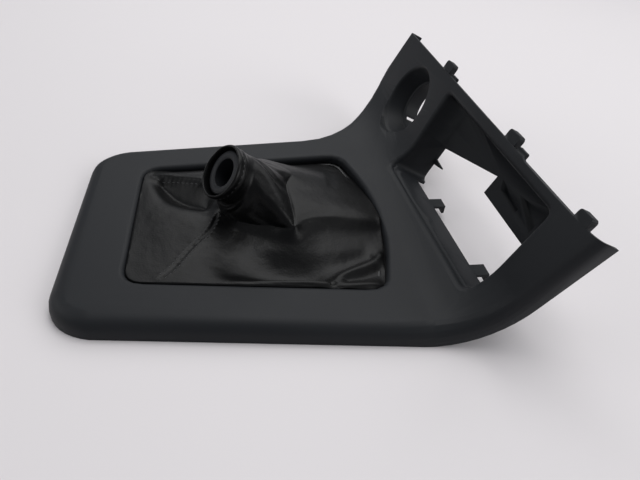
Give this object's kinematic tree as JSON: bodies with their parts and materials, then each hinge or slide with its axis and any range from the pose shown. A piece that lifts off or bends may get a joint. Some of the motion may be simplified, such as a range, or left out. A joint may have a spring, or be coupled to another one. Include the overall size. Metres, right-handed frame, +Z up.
{
  "type": "gear lever gaiter",
  "caption": "Sewn leather gear lever boot with its collar, clamped into a moulded centre console surround that sweeps up to the dashboard",
  "frame": {"origin": "under the middle of the whole, on the surface that the panel's skirt stands on", "axes": "+X points forward to the dashboard edge, +Y to the left of the car where the socket wing is, +Z up, square to the flat plate"},
  "size_m": [0.2774, 0.2914, 0.0876],
  "materials": {
    "panel_plastic": "fine-grained matt charcoal moulding",
    "leather": "soft black leather, fine grain, low sheen",
    "frame_plastic": "plain black moulding",
    "collar_plastic": "satin black moulding",
    "screw_steel": "zinc-plated self-tapping screw"
  },
  "bodies": {
    "root": {"surround_panel": "panel_plastic", "gaiter": "leather", "gaiter_frame": "frame_plastic", "gaiter_collar": "collar_plastic", "frame_screw_1": "screw_steel", "frame_screw_2": "screw_steel", "frame_screw_3": "screw_steel", "frame_screw_4": "screw_steel", "frame_screw_5": "screw_steel", "frame_screw_6": "screw_steel"}
  },
  "joints": []
}
